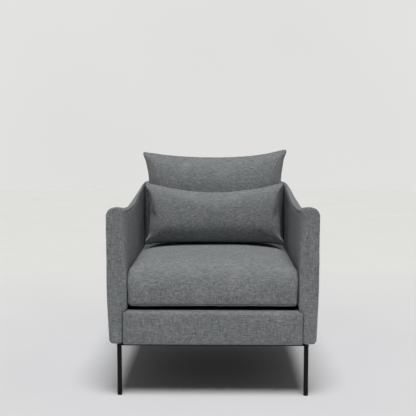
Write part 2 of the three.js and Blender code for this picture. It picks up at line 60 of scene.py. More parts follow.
FRONT_Y = arm_low.y
COVER_THICKNESS = 0.018
BACK_LEAN = math.atan2(cover_high.y - cover_low.y - COVER_THICKNESS, cover_high.z - cover_low.z)
COVER_FRONT_AT_BOTTOM = cover_low.y


# ---------------------------------------------------------------- mesh helpers


def make_object(name, points, faces):
    """A smooth-shaded mesh object from points and faces."""
    mesh = bpy.data.meshes.new(name)
    mesh.from_pydata([tuple(point) for point in points], [], [tuple(face) for face in faces])
    mesh.validate()
    mesh.update()
    mesh.shade_smooth()
    obj = bpy.data.objects.new(name, mesh)
    bpy.context.scene.collection.objects.link(obj)
    return obj


def get_points(obj):
    """The mesh's points, one row each."""
    points = np.empty(len(obj.data.vertices) * 3)
    obj.data.vertices.foreach_get("co", points)
    return points.reshape(-1, 3)


def set_points(obj, points):
    """Moves the mesh's points to new places."""
    obj.data.vertices.foreach_set("co", np.asarray(points, float).ravel())
    obj.data.update()


def push_out(obj, distance):
    """Moves each point along its normal, by its own distance."""
    normals = np.empty(len(obj.data.vertices) * 3)
    obj.data.vertices.foreach_get("normal", normals)
    set_points(obj, get_points(obj) + normals.reshape(-1, 3) * distance[:, None])


def loft(name, rings, closed=False):
    """A skin over rings of equal length, with flat ends or joined into a loop."""
    rings = np.asarray(rings, float)
    count = rings.shape[1]
    last = (len(rings) - 1) * count
    faces = []
    for start in range(0, last, count):
        for i in range(count):
            a, b = start + i, start + (i + 1) % count
            faces.append((a, b, b + count, a + count))
    if closed:
        shift = closing_shift(rings[0], rings[-1])
        for i in range(count):
            j = (i + 1) % count
            faces.append((last + i, last + j, (j + shift) % count, (i + shift) % count))
    else:
        faces.append(tuple(reversed(range(count))))
        faces.append(tuple(range(last, last + count)))
    obj = make_object(name, rings.reshape(-1, 3), faces)
    face_outwards(obj)
    return obj


def face_outwards(obj):
    """Turns the mesh inside out if it encloses a negative volume."""
    mesh = obj.data
    mesh.calc_loop_triangles()
    points = get_points(obj)
    corners = np.array([triangle.vertices[:] for triangle in mesh.loop_triangles])
    a, b, c = (points[corners[:, k]] for k in range(3))
    if np.einsum("ij,ij->i", a, np.cross(b, c)).sum() < 0:
        mesh.flip_normals()


def apply_modifiers(obj):
    """Bakes the modifiers into the mesh."""
    depsgraph = bpy.context.evaluated_depsgraph_get()
    evaluated = obj.evaluated_get(depsgraph)
    mesh = bpy.data.meshes.new_from_object(evaluated, depsgraph=depsgraph)
    obj.modifiers.clear()
    old = obj.data
    obj.data = mesh
    bpy.data.meshes.remove(old)
    obj.data.shade_smooth()


def remesh(obj, voxel):
    """An even mesh of quads, smoothed so that no voxel steps show."""
    modifier = obj.modifiers.new("remesh", "REMESH")
    modifier.mode = "VOXEL"
    modifier.voxel_size = voxel
    smooth = obj.modifiers.new("relax", "SMOOTH")
    smooth.factor = 0.5
    smooth.iterations = 4
    apply_modifiers(obj)


def subdivide(obj):
    """Rounds the mesh by splitting every face in four."""
    modifier = obj.modifiers.new("subdivide", "SUBSURF")
    modifier.levels = 1
    modifier.render_levels = 1
    apply_modifiers(obj)


def fractal(points, scale, seed):
    """Smooth noise from -1 to 1 at each point. scale is the size of its features in metres."""
    offset = Vector((seed * 17.3, seed * 5.1, seed * 9.7))
    return np.array([noise.noise(Vector(point) / scale + offset) for point in points])


def smoothstep(low, high, values):
    """A soft step from 0 at low to 1 at high."""
    share = np.clip((values - low) / (high - low), 0, 1)
    return share * share * (3 - 2 * share)


CLOTH_STIFFNESS = 15.0
CLOTH_BENDING = 0.5
CLOTH_FRAMES = 20


def inflate(obj, pressure, cap, held=None):
    """Swells a closed mesh as a sewn fabric bag, and limits how far any point may move."""
    rest = get_points(obj)
    if held is not None:
        group = obj.vertex_groups.new(name="held")
        for index in np.nonzero(held > 0)[0]:
            group.add([int(index)], float(held[index]), "REPLACE")
    modifier = obj.modifiers.new("cloth", "CLOTH")
    settings = modifier.settings
    settings.quality = 6
    settings.mass = 0.3
    settings.tension_stiffness = CLOTH_STIFFNESS
    settings.compression_stiffness = CLOTH_STIFFNESS
    settings.shear_stiffness = CLOTH_STIFFNESS / 2
    settings.bending_stiffness = CLOTH_BENDING
    settings.use_pressure = True
    settings.uniform_pressure_force = pressure
    settings.effector_weights.gravity = 0
    if held is not None:
        settings.vertex_group_mass = "held"
        settings.pin_stiffness = 1.0
    modifier.collision_settings.use_collision = False
    modifier.point_cache.frame_start = 1
    modifier.point_cache.frame_end = CLOTH_FRAMES
    scene = bpy.context.scene
    for step in range(1, CLOTH_FRAMES + 1):
        scene.frame_set(step)
    apply_modifiers(obj)
    scene.frame_set(1)
    moved = get_points(obj) - rest
    length = np.linalg.norm(moved, axis=1, keepdims=True)
    limited = cap * np.tanh(length / cap)
    set_points(obj, rest + moved * (limited / np.maximum(length, 1e-9)))


def distance_to(path, points):
    """How far each point is from the nearest point of a path."""
    tree = kdtree.KDTree(len(path))
    for index, point in enumerate(path):
        tree.insert(Vector(point), index)
    tree.balance()
    return np.array([tree.find(Vector(point))[2] for point in points])


def press_groove(obj, path, width, depth):
    """Presses a soft line into the surface along a path of points."""
    distance = distance_to(path, get_points(obj))
    push_out(obj, -depth * np.exp(-((distance / width) ** 2)))


def resample(path, spacing, closed=False):
    """Points evenly spaced along a path."""
    path = np.asarray(path, float)
    if closed:
        path = np.vstack([path, path[:1]])
    steps = np.linalg.norm(np.diff(path, axis=0), axis=1)
    along = np.concatenate([[0], np.cumsum(steps)])
    count = max(2, int(along[-1] / spacing) + 1)
    wanted = np.linspace(0, along[-1], count, endpoint=not closed)
    return np.stack([np.interp(wanted, along, path[:, axis]) for axis in range(3)], axis=1)


def drop_onto(obj, path):
    """Moves each point of a path to the nearest point of a surface."""
    placed = []
    for point in path:
        found, location, _, _ = obj.closest_point_on_mesh(Vector(point))
        placed.append(np.array(location if found else point))
    return np.array(placed)


def tube(name, path, radius, closed=False, sides=8):
    """A round cord along a path, as a mesh."""
    path = np.asarray(path, float)
    count = len(path)
    if closed:
        tangents = np.roll(path, -1, 0) - np.roll(path, 1, 0)
    else:
        tangents = np.gradient(path, axis=0)
    tangents /= np.maximum(np.linalg.norm(tangents, axis=1, keepdims=True), 1e-9)
    rings = []
    side = np.cross(tangents[0], [0.3, 0.5, 0.8])
    side /= np.linalg.norm(side)
    for index in range(count):
        side = side - tangents[index] * np.dot(side, tangents[index])
        side /= max(np.linalg.norm(side), 1e-9)
        other = np.cross(tangents[index], side)
        angles = np.linspace(0, 2 * math.pi, sides, endpoint=False)[:, None]
        rings.append(path[index] + radius * (np.cos(angles) * side + np.sin(angles) * other))
    return loft(name, rings, closed)


def closing_shift(first, last):
    """How many places to turn the first ring so that it meets the last one with the least twist."""
    sides = len(first)
    cost = [np.linalg.norm(np.roll(first, -shift, 0) - last) for shift in range(sides)]
    return int(np.argmin(cost))


def bezier(start, first_handle, second_handle, end, count):
    """Points along a curve from start up to, but without, end."""
    t = np.linspace(0, 1, count, endpoint=False)[:, None]
    left = 1 - t
    start, first_handle, second_handle, end = map(np.array, (start, first_handle, second_handle, end))
    return left**3 * start + 3 * left**2 * t * first_handle + 3 * left * t**2 * second_handle + t**3 * end


# ---------------------------------------------------------------- materials


class Shader:
    """A material's node tree, with short names for the nodes that it uses."""

    def __init__(self, name, color, roughness, metallic=0.0, specular=0.5):
        self.material = bpy.data.materials.new(name)
        self.material.use_nodes = True
        self.tree = self.material.node_tree
        self.bsdf = self.tree.nodes["Principled BSDF"]
        self.feed(self.bsdf, "Base Color", (*color, 1))
        self.feed(self.bsdf, "Roughness", roughness)
        self.feed(self.bsdf, "Metallic", metallic)
        self.feed(self.bsdf, "Specular IOR Level", specular)
        self.coordinates = self.new("TexCoord").outputs["Object"]

    def feed(self, node, socket, value):
        """Gives a socket another node's output, or a constant."""
        if isinstance(value, bpy.types.NodeSocket):
            self.tree.links.new(value, node.inputs[socket])
        else:
            node.inputs[socket].default_value = value

    def new(self, kind):
        return self.tree.nodes.new(f"ShaderNode{kind}")

    def math(self, operation, *values, clamp=False):
        node = self.new("Math")
        node.operation = operation
        node.use_clamp = clamp
        for socket, value in enumerate(values):
            self.feed(node, socket, value)
        return node.outputs[0]

    def noise(self, scale, detail=2.0, stretch=(1, 1, 1), roughness=0.5):
        stretched = self.new("VectorMath")
        stretched.operation = "MULTIPLY"
        self.feed(stretched, 0, self.coordinates)
        self.feed(stretched, 1, stretch)
        node = self.new("TexNoise")
        self.feed(node, "Scale", scale)
        self.feed(node, "Detail", detail)
        self.feed(node, "Roughness", roughness)
        self.feed(node, "Vector", stretched.outputs[0])
        return node.outputs["Fac"]

    def separate(self, vector):
        node = self.new("SeparateXYZ")
        self.feed(node, 0, vector)
        return node.outputs[0], node.outputs[1], node.outputs[2]

    def ramp(self, factor, *stops):
        node = self.new("ValToRGB")
        self.feed(node, 0, factor)
        elements = node.color_ramp.elements
        while len(elements) < len(stops):
            elements.new(0.5)
        for element, (position, color) in zip(elements, stops):
            element.position = position
            element.color = (*color, 1)
        return node.outputs[0]

    def mix(self, factor, a, b, blend="MIX"):
        node = self.new("Mix")
        node.data_type = "RGBA"
        node.blend_type = blend
        self.feed(node, 0, factor)
        self.feed(node, 6, a)
        self.feed(node, 7, b)
        return node.outputs[2]

    def bump(self, height, distance, strength=1.0):
        node = self.new("Bump")
        self.feed(node, "Strength", strength)
        self.feed(node, "Distance", distance)
        self.feed(node, "Height", height)
        return node.outputs["Normal"]

    def finish(self, color, normal=None, roughness=None):
        """Links the patterns that there are to the shader's own sockets."""
        for socket, pattern in (("Base Color", color), ("Roughness", roughness), ("Normal", normal)):
            if pattern is not None:
                self.feed(self.bsdf, socket, pattern)
        return self.material


def face_weights(shader):
    """How much the surface faces along X, Y and Z, each 0 to 1."""
    normal = shader.new("NewGeometry").outputs["Normal"]
    weights = []
    for component in shader.separate(normal):
        size = shader.math("ABSOLUTE", component)
        weights.append(shader.math("MULTIPLY_ADD", size, 4.0, -2.0, clamp=True))
    return weights


def weave_height(shader, pitch):
    """A plain weave: threads over and under each other across whichever way the surface faces."""
    waves = []
    for axis in shader.separate(shader.coordinates):
        waves.append(shader.math("SINE", shader.math("MULTIPLY", axis, math.pi / pitch)))
    total = 0.0
    for facing, (first, second) in zip(face_weights(shader), ((1, 2), (0, 2), (0, 1))):
        threads = shader.math("MULTIPLY", waves[first], waves[second])
        total = shader.math("ADD", total, shader.math("MULTIPLY", facing, threads))
    return total


def yarn_runs(shader, scale, along, strength, facings):
    """Lighter and darker yarns along the two axes that lie in the surface, as a value around zero."""
    total = 0.0
    for axis, facing in enumerate(facings):
        stretch = [1.0, 1.0, 1.0]
        stretch[axis] = along
        run = shader.math("SUBTRACT", shader.noise(scale + 10 * axis, 2, stretch, 0.55), 0.5)
        part = shader.math("MULTIPLY", run, shader.math("SUBTRACT", 1.0, facing))
        total = shader.math("ADD", total, part)
    return shader.math("MULTIPLY", total, strength)


def woven_fabric():
    """Grey melange cloth: fine yarns and thicker slubs in lighter and darker runs, flecks, and a soft nap."""
    shader = Shader("woven_grey_fabric", (0.16, 0.168, 0.172), 0.92, specular=0.25)
    shader.feed(shader.bsdf, "Sheen Weight", 0.12)
    shader.feed(shader.bsdf, "Sheen Roughness", 0.5)
    facings = face_weights(shader)
    yarns = yarn_runs(shader, 460, 0.12, 0.25, facings)
    slubs = yarn_runs(shader, 300, 0.1, 0.08, facings)
    fleck = shader.math("MULTIPLY_ADD", shader.noise(900, 1), 0.25, 0.375)
    blend = shader.math("ADD", shader.math("ADD", yarns, slubs), fleck)
    melange = shader.ramp(
        blend,
        (0.38, (0.09, 0.098, 0.102)),
        (0.5, (0.235, 0.247, 0.252)),
        (0.62, (0.45, 0.464, 0.468)),
    )
    tone = shader.ramp(shader.noise(11, 3), (0.3, (0.9, 0.905, 0.91)), (0.7, (1.0, 1.0, 1.0)))
    color = shader.mix(1.0, melange, tone, "MULTIPLY")
    height = shader.math("ADD", weave_height(shader, 0.0013), shader.math("MULTIPLY", blend, 4.0))
    return shader.finish(color, shader.bump(height, 0.0004, 0.6))


def grained(shader, grain, dark, pale, relief, strength=1.0):
    """Finishes a shader with one fine grain: its colour from dark to pale, and its relief."""
    return shader.finish(shader.ramp(grain, dark, pale), shader.bump(grain, relief, strength))


def seam_fabric_painted_shade():
    """The same cloth, painted darker for the shade that falls in a seam's fold."""
    shader = Shader("seam_grey_fabric_painted_shade", (0.09, 0.096, 0.1), 0.95, specular=0.2)
    yarns = shader.noise(600, 2)
    return grained(shader, yarns, (0.35, (0.05, 0.055, 0.058)), (0.65, (0.13, 0.138, 0.142)), 0.0004)


def powder_coat():
    """Satin black paint with a fine orange peel."""
    shader = Shader("black_powder_coat", (0.005, 0.005, 0.006), 0.45, specular=0.18)
    grain = shader.noise(1600, 2)
    roughness = shader.math("ADD", shader.math("MULTIPLY", shader.noise(60, 2), 0.12), 0.34)
    color = shader.ramp(grain, (0.3, (0.0035, 0.0035, 0.004)), (0.7, (0.007, 0.007, 0.0075)))
    return shader.finish(color, shader.bump(grain, 0.00008, 0.5), roughness)


def zinc_plate():
    """Bright plated steel, a little blotchy."""
    shader = Shader("zinc_plate", (0.5, 0.51, 0.52), 0.35, metallic=1.0)
    blotch = shader.noise(220, 3)
    color = shader.ramp(blotch, (0.3, (0.38, 0.39, 0.4)), (0.7, (0.58, 0.59, 0.58)))
    roughness = shader.math("ADD", shader.math("MULTIPLY", blotch, 0.25), 0.25)
    return shader.finish(color, roughness=roughness)


def spring_steel():
    """Dark oiled wire with faint streaks along it."""
    shader = Shader("oiled_spring_steel", (0.16, 0.17, 0.18), 0.4, metallic=1.0)
    streaks = shader.noise(500, 2, (1, 0.3, 1))
    return grained(shader, streaks, (0.35, (0.1, 0.105, 0.11)), (0.65, (0.24, 0.25, 0.26)), 0.0001)


def black_plastic():
    """Moulded plastic with a fine grain."""
    shader = Shader("black_plastic", (0.011, 0.011, 0.012), 0.6, specular=0.4)
    grain = shader.noise(900, 2)
    return grained(shader, grain, (0.3, (0.008, 0.008, 0.009)), (0.7, (0.016, 0.016, 0.017)), 0.0001, 0.4)


def timber(name, pale, dark, grain_axis):
    """Planed wood with its grain along one axis."""
    shader = Shader(name, pale, 0.7, specular=0.3)
    stretch = [1.0, 1.0, 1.0]
    stretch[grain_axis] = 0.06
    return grained(shader, shader.noise(160, 4, stretch, 0.65), (0.35, dark), (0.62, pale), 0.0003, 0.5)


def lining():
    """Black non-woven cloth with its pressed dots."""
    shader = Shader("black_lining", (0.02, 0.02, 0.021), 0.95, specular=0.15)
    fibres = shader.noise(900, 3)
    color = shader.ramp(fibres, (0.3, (0.012, 0.012, 0.013)), (0.7, (0.032, 0.032, 0.034)))
    height = shader.math("ADD", fibres, shader.math("MULTIPLY", weave_height(shader, 0.002), 0.5))
    return shader.finish(color, shader.bump(height, 0.0002))


def foam():
    """Cream foam with open cells."""
    shader = Shader("cushion_filling", (0.75, 0.7, 0.58), 0.95, specular=0.1)
    cells = shader.noise(800, 3)
    return grained(shader, cells, (0.35, (0.62, 0.57, 0.45)), (0.65, (0.8, 0.76, 0.65)), 0.0006)


def zip_nylon():
    """Dark grey nylon of a coil zip and its tape."""
    shader = Shader("zip_nylon", (0.03, 0.032, 0.034), 0.55, specular=0.3)
    threads = shader.noise(1200, 2)
    return grained(shader, threads, (0.3, (0.02, 0.022, 0.024)), (0.7, (0.05, 0.053, 0.056)), 0.0001)


def floor_paint():
    """Pale paint with painted light: a little lighter away from the middle, so that the floor runs into the
    backdrop.
    """
    shader = Shader("pale_floor", (0.74, 0.74, 0.75), 0.6, specular=0.1)
    cloud = shader.noise(2.0, 3)
    near = shader.ramp(cloud, (0.3, (0.73, 0.73, 0.74)), (0.7, (0.75, 0.75, 0.76)))
    # Painted light: the floor further out is painted lighter than the floor near the chair.
    far = shader.ramp(cloud, (0.3, (0.81, 0.805, 0.785)), (0.7, (0.83, 0.825, 0.8)))
    x, y, _ = shader.separate(shader.coordinates)
    squares = shader.math("ADD", shader.math("MULTIPLY", x, x), shader.math("MULTIPLY", y, y))
    share = shader.math("MULTIPLY_ADD", shader.math("SQRT", squares), 0.6, -0.42, clamp=True)
    return shader.finish(shader.mix(share, near, far))


def backdrop_paint():
    """Plain pale paint, lit evenly."""
    shader = Shader("pale_backdrop", (0.0, 0.0, 0.0), 1.0, specular=0.0)
    tint = shader.ramp(shader.noise(0.25, 2), (0.3, (0.74, 0.745, 0.73)), (0.7, (0.77, 0.775, 0.755)))
    shader.feed(shader.bsdf, "Emission Color", tint)
    shader.feed(shader.bsdf, "Emission Strength", 1.0)
    return shader.material


FABRIC = woven_fabric()
# Painted shade: the seams' cloth is darker to stand for the shade in their folds.
SEAM_PAINTED_SHADE = seam_fabric_painted_shade()
STEEL = powder_coat()
ZINC = zinc_plate()
PLASTIC = black_plastic()
LINING = lining()
ZIP_TAPE = zip_nylon()
SLOT_MATERIALS = {
    "upholstery_fabric": FABRIC,
    "powder_coated_steel": STEEL,
    "zinc_plated_steel": ZINC,
    "spring_steel": spring_steel(),
    "black_plastic": PLASTIC,
    "hardwood": timber("hardwood_across", (0.5, 0.33, 0.17), (0.3, 0.18, 0.08), 0),
    "plywood": timber("plywood", (0.62, 0.45, 0.26), (0.45, 0.3, 0.15), 1),
    "black_lining": LINING,
    "cushion_filling": foam(),
    "zip_tape": ZIP_TAPE,
    "zip_metal": ZINC,
}


def paint_cad_nodes():
    """Gives every CAD node the finish of its slot in the record."""
    for subpart in frame["record"]["subparts"]:
        obj = frame["nodes"][subpart["node"]]
        obj.data.materials.clear()
        obj.data.materials.append(SLOT_MATERIALS[subpart["material_slot"]])


def dress(obj, material, body, slot, *replaced):
    """Gives a new piece its material and its body, and hides the CAD nodes that it stands for; slot is not
    used.
    """
    obj.data.materials.clear()
    obj.data.materials.append(material)
    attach(obj, body)
    if replaced:
        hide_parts(*replaced)


def upholster(obj, body, fill, *replaced):
    """A padded, fabric-covered piece."""
    dress(obj, FABRIC, body, "upholstery_fabric", *replaced)


def sew(name, path, body, radius, closed=False):
    """A seam's folded edge, as a thin cord of the cloth, painted darker for the shade in the fold."""
    dress(tube(name, path, radius, closed), SEAM_PAINTED_SHADE, body, "upholstery_fabric")


# ---------------------------------------------------------------- arms

ARM_PADDING = 0.0035
PANEL_SEAM_DEPTH = 0.0075
ARM_FULLNESS = {"left": 0.0, "right": 0.011}
ARM_KEYS = {
    # share of the depth: outer x in from the widest, shoulder z, seam z, outer handle, inner handle
    0.0: (0.001, 0.623, 0.641, (0.000, 0.045), (0.003, 0.022)),
    0.18: (0.001, 0.602, 0.633, (-0.004, 0.034), (0.005, 0.014)),
    0.42: (0.001, 0.576, 0.637, (-0.014, 0.027), (0.007, 0.008)),
    0.75: (0.003, 0.565, 0.669, (-0.016, 0.047), (0.010, 0.008)),
    1.0: (0.005, 0.560, 0.691, (-0.016, 0.056), (0.011, 0.008)),
}


def arm_numbers(depth):
    """The section's sizes at a share of the depth, between the keys."""
    shares = list(ARM_KEYS)
    flat = np.array([[a, b, c, *d, *e] for a, b, c, d, e in ARM_KEYS.values()])
    return [float(np.interp(depth, shares, flat[:, column])) for column in range(flat.shape[1])]


def arm_section(depth, fullness=0.0):
    """The right arm's outline in (x, z) at a share of the depth. fullness rounds out its top at the rear."""
    narrowing, shoulder, seam, out_x, out_z, in_x, in_z = arm_numbers(depth)
    out_z += fullness * depth
    in_x += 1.3 * fullness * depth
    outer = arm_high.x + ARM_PADDING - narrowing
    inner = arm_low.x
    lower_inner = apron_high.x + 0.0004
    bottom = arm_low.z
    step = apron_high.z + 0.0004
    above_foot = (outer - 0.004, 0.235)
    foot = bezier((outer - 0.016, bottom), (outer - 0.007, bottom), (outer - 0.006, 0.195), above_foot, 8)
    side = bezier(above_foot, (outer - 0.002, 0.3), (outer, 0.36), (outer, 0.44), 12)
    face = [(outer, z) for z in np.linspace(0.44, shoulder, 10)[:-1]]
    out_handle, in_handle = (outer + out_x, shoulder + out_z), (inner + in_x, seam + in_z)
    over = bezier((outer, shoulder), out_handle, in_handle, (inner, seam), 26)
    inside = [(inner, z) for z in np.linspace(seam, step, 24)]
    return np.array([(lower_inner, bottom), *foot, *side, *face, *over, *inside, (lower_inner, step)])


def arm_rear(z):
    """Y of the plane where the arms meet the outside back cover, at a height."""
    return COVER_FRONT_AT_BOTTOM + (z - arm_low.z) * math.tan(BACK_LEAN)


def roll_inner_edge(section, distance):
    """Moves the inner face outwards close behind the front panel, so that the edge there is a soft roll."""
    upper = smoothstep(0.43, 0.6, section[:, 1])
    radius = 0.003 + 0.03 * upper
    share = np.clip(1 - distance / radius, 0, 1)
    roll = radius * (1 - np.sqrt(1 - share**2)) * 0.8
    near_inside = smoothstep(arm_low.x + 0.035, arm_low.x + 0.002, section[:, 0])
    rolled = section.copy()
    rolled[:, 0] += roll * near_inside
    return rolled


def arm_solid(name, sign, fullness):
    """The arm as sections from the front panel, close together there, to the outside back."""
    rings = []
    for depth in [0, 0.003, 0.007, 0.012, 0.018, 0.024, 0.032, *np.linspace(0.04, 1, 38)]:
        section = arm_section(depth, fullness)
        y = FRONT_Y + depth * (arm_rear(section[:, 1]) - FRONT_Y)
        section = roll_inner_edge(section, depth * (arm_rear(0.5) - FRONT_Y))
        rings.append(np.stack([sign * section[:, 0], y, section[:, 1]], axis=1))
    return loft(name, rings)


def front_seam_path(sign):
    """Around the arm's front panel, just behind its face, from the foot over the top to the inner face."""
    section = roll_inner_edge(arm_section(0.0), PANEL_SEAM_DEPTH)
    y = np.full(len(section), FRONT_Y + PANEL_SEAM_DEPTH)
    path = np.stack([sign * section[:, 0], y, section[:, 1]], axis=1)
    inner_x, shoulder = arm_low.x + 0.012, 0.6
    outside = path[1 : np.argmax(np.abs(path[:, 0]) <= inner_x)]
    over = path[(np.abs(path[:, 0]) > inner_x) & (path[:, 2] > shoulder)]
    return resample(np.vstack([outside[outside[:, 2] <= shoulder], over]), 0.003)


def inner_seam_path(sign):
    """Along the top of the arm's inner face, from the front panel to the back."""
    path = []
    for depth in np.linspace(0.012, 0.985, 120):
        seam = arm_numbers(depth)[2]
        path.append((sign * arm_low.x, FRONT_Y + depth * (arm_rear(seam) - FRONT_Y), seam - 0.004))
    return np.array(path)


def make_arm(side, sign):
    """An arm with its seams pressed in and sewn, and a soft, uneven padding."""
    arm = arm_solid(f"arm_{side}", sign, ARM_FULLNESS[side])
    remesh(arm, 0.0067)
    subdivide(arm)
    front_seam = front_seam_path(sign)
    inner_seam = inner_seam_path(sign)
    press_groove(arm, front_seam, 0.0032, 0.0016)
    press_groove(arm, inner_seam, 0.0036, 0.0026)
    points = get_points(arm)
    soft = 0.0012 * fractal(points, 0.11, 3 + sign) + 0.0004 * fractal(points, 0.035, 5 + sign)
    push_out(arm, soft - 0.0006)
    sew(f"arm_front_seam_{side}", drop_onto(arm, front_seam), "frame", 0.0008)
    sew(f"arm_inner_seam_{side}", drop_onto(arm, inner_seam), "frame", 0.001)
    upholster(arm, "frame", 0.8, f"arm_upholstery_{side}")


# ---------------------------------------------------------------- apron and back


def rounded_box(name, low, high, radius, counts):
    """A box with rounded edges, as an even grid of quads."""
    low, high = np.array(low, float), np.array(high, float)
    half = (high - low) / 2
    middle = (high + low) / 2
    points, faces, index = [], [], {}

    def corner(i, j, k):
        key = (i, j, k)
        if key not in index:
            share = np.array([i / counts[0], j / counts[1], k / counts[2]]) * 2 - 1
            point = share * half
            core = np.clip(point, -(half - radius), half - radius)
            offset = point - core
            length = np.linalg.norm(offset)
            index[key] = len(points)
            points.append(middle + core + offset * (radius / length if length else 0))
        return index[key]

    for axis in range(3):
        first, second = [a for a in range(3) if a != axis]
        for level in (0, counts[axis]):
            for i in range(counts[first]):
                for j in range(counts[second]):
                    quad = []
                    for di, dj in ((0, 0), (1, 0), (1, 1), (0, 1)):
                        key = [0, 0, 0]
                        key[axis], key[first], key[second] = level, i + di, j + dj
                        quad.append(corner(*key))
                    if (level == 0) == (axis != 1):
                        quad.reverse()
                    faces.append(quad)
    obj = make_object(name, points, faces)
    face_outwards(obj)
    return obj


def make_apron():
    """The padded front panel, with a rolled upper edge."""
    apron = rounded_box("apron", apron_low, apron_high, 0.005, (150, 8, 30))
    points = get_points(apron)
    front = smoothstep(FRONT_Y + 0.006, FRONT_Y, points[:, 1])
    middle = (apron_low.z + apron_high.z) / 2
    share = np.clip(np.abs(points[:, 2] - middle) / (apron_high.z - middle), 0, 1)
    across = np.clip(np.abs(points[:, 0]) / apron_high.x, 0, 1)
    swell = 0.0045 * (1 - share**3) * (1 - across**16)
    points[:, 1] -= front * (swell - 0.0015 + 0.0009 * fractal(points, 0.09, 11))
    roll = 0.014
    over = np.clip(1 - (apron_high.z - points[:, 2]) / roll, 0, 1)
    points[:, 1] += front * roll * (1 - np.sqrt(1 - over**2)) * 0.7
    set_points(apron, points)
    upholster(apron, "frame", 0.9, "front_apron")


def back_half_width(z):
    """Half the width of the outside back at a height, just inside the outline of the arms' rear ends."""
    outline = arm_section(1.0)
    outline = outline[(outline[:, 0] > arm_low.x + 0.001) & (outline[:, 1] > 0.3)]
    outline = outline[np.argsort(outline[:, 1])]
    foot = 0.012 * (1 - smoothstep(cover_low.z, cover_low.z + 0.03, z))
    return np.minimum(np.interp(z, outline[:, 1], outline[:, 0]) - 0.002, cover_high.x) - foot


def make_back_cover():
    """The outside back: a thin swelling panel that follows the arms' outline."""
    low, high = (-1, 0, cover_low.z), (1, COVER_THICKNESS, cover_high.z)
    cover = rounded_box("back_outside", low, high, 0.0085, (110, 6, 120))
    points = get_points(cover)
    across = points[:, 0].copy()
    half_width = back_half_width(points[:, 2])
    rounded = np.sign(across) * (half_width - (1 - np.abs(across)))
    points[:, 0] = np.where(np.abs(across) > 0.985, rounded, across * half_width)
    lean = (points[:, 2] - cover_low.z) * math.tan(BACK_LEAN)
    rear = smoothstep(0.008, COVER_THICKNESS, points[:, 1])
    u = points[:, 0] / half_width
    v = (points[:, 2] - cover_low.z) / (cover_high.z - cover_low.z) * 2 - 1
    swell = 0.006 * (1 - u**4) * (1 - v**4) + 0.001 * fractal(points, 0.12, 21)
    points[:, 1] += COVER_FRONT_AT_BOTTOM + lean + rear * (swell - 0.0005)
    set_points(cover, points)
    upholster(cover, "frame", 0.5, "back_outside_cover")


def make_back_pad():
    """The thick pad in front of the back frame."""
    low = (pad_low.x, 0, pad_low.z)
    high = (pad_high.x, 0.064, pad_high.z)
    pad = rounded_box("back_inside", low, high, 0.013, (90, 10, 60))
    points = get_points(pad)
    lean = (points[:, 2] - cover_low.z) * math.tan(BACK_LEAN)
    front = 1 - smoothstep(0.0, 0.02, points[:, 1])
    points[:, 1] += COVER_FRONT_AT_BOTTOM - 0.0648 + lean - front * 0.0008 * fractal(points, 0.1, 31)
    set_points(pad, points)
    upholster(pad, "frame", 0.7, "back_inside_pad")


# ---------------------------------------------------------------- loose cushions


def shape_seat(points, low, high, crown):
    """Gives a box cushion its crowned top, rolled front and softly bulging sides."""
    middle = (np.array(low) + np.array(high)) / 2
    half = (np.array(high) - np.array(low)) / 2
    u = np.clip(np.abs(points[:, 0] - middle[0]) / half[0], 0, 1)
    v = np.clip((points[:, 1] - middle[1]) / half[1], -1, 1)
    w = (points[:, 2] - middle[2]) / half[2]
    upper = smoothstep(low[2] + 0.02, high[2], points[:, 2])

    def drop(distance, radius):
        share = np.clip(1 - distance / radius, 0, 1)
        return radius * (1 - np.sqrt(1 - share**2))

    rise = crown * (1 - u**3.2) * (1 - np.abs(v) ** 4)
    rise -= drop(points[:, 1] - low[1], 0.055)
    rise -= drop(high[1] - points[:, 1], 0.03)
    rise -= drop((1 - u) * half[0], 0.009)
    points[:, 2] += upper * rise
    near_front = smoothstep(low[1] + 0.07, low[1], points[:, 1])
    near_bottom = smoothstep(low[2] + 0.05, low[2], points[:, 2])
    points[:, 2] += 0.008 * (near_front * near_bottom)
    front = smoothstep(-0.9, -1.0, v)
    points[:, 1] -= front * 0.003 * (1 - u**4) * (1 - w**2)


def bottom_seam(low, high, height):
    """Around the cushion near its lower edge, with rounded corners."""
    radius = 0.012
    path = []
    turns = ((high[0], high[1], 0), (low[0], high[1], 1), (low[0], low[1], 2), (high[0], low[1], 3))
    for x, y, quarter in turns:
        for step in range(7):
            angle = math.radians(90 * quarter + 15 * step)
            center_x = x - math.copysign(radius, x)
            center_y = y - math.copysign(radius, y - (low[1] + high[1]) / 2)
            path.append((center_x + radius * math.cos(angle), center_y + radius * math.sin(angle), height))
    return resample(path, 0.003, closed=True)


def side_seam(low, high, height):
    """Up at a front corner, back along the side, across the rear and down the other side."""
    inset = 0.004
    path = []
    for x, sequence in ((low[0] + inset, 1), (high[0] - inset, -1)):
        corner = [(x, low[1] + 0.012, low[2] + 0.012), (x, low[1] + 0.012, height - 0.06)]
        corner += [(x, low[1] + 0.03, height - 0.025), (x, low[1] + 0.07, height)]
        corner += [(x, high[1] - 0.02, height)]
        path += corner[::sequence]
    return resample(path, 0.003)


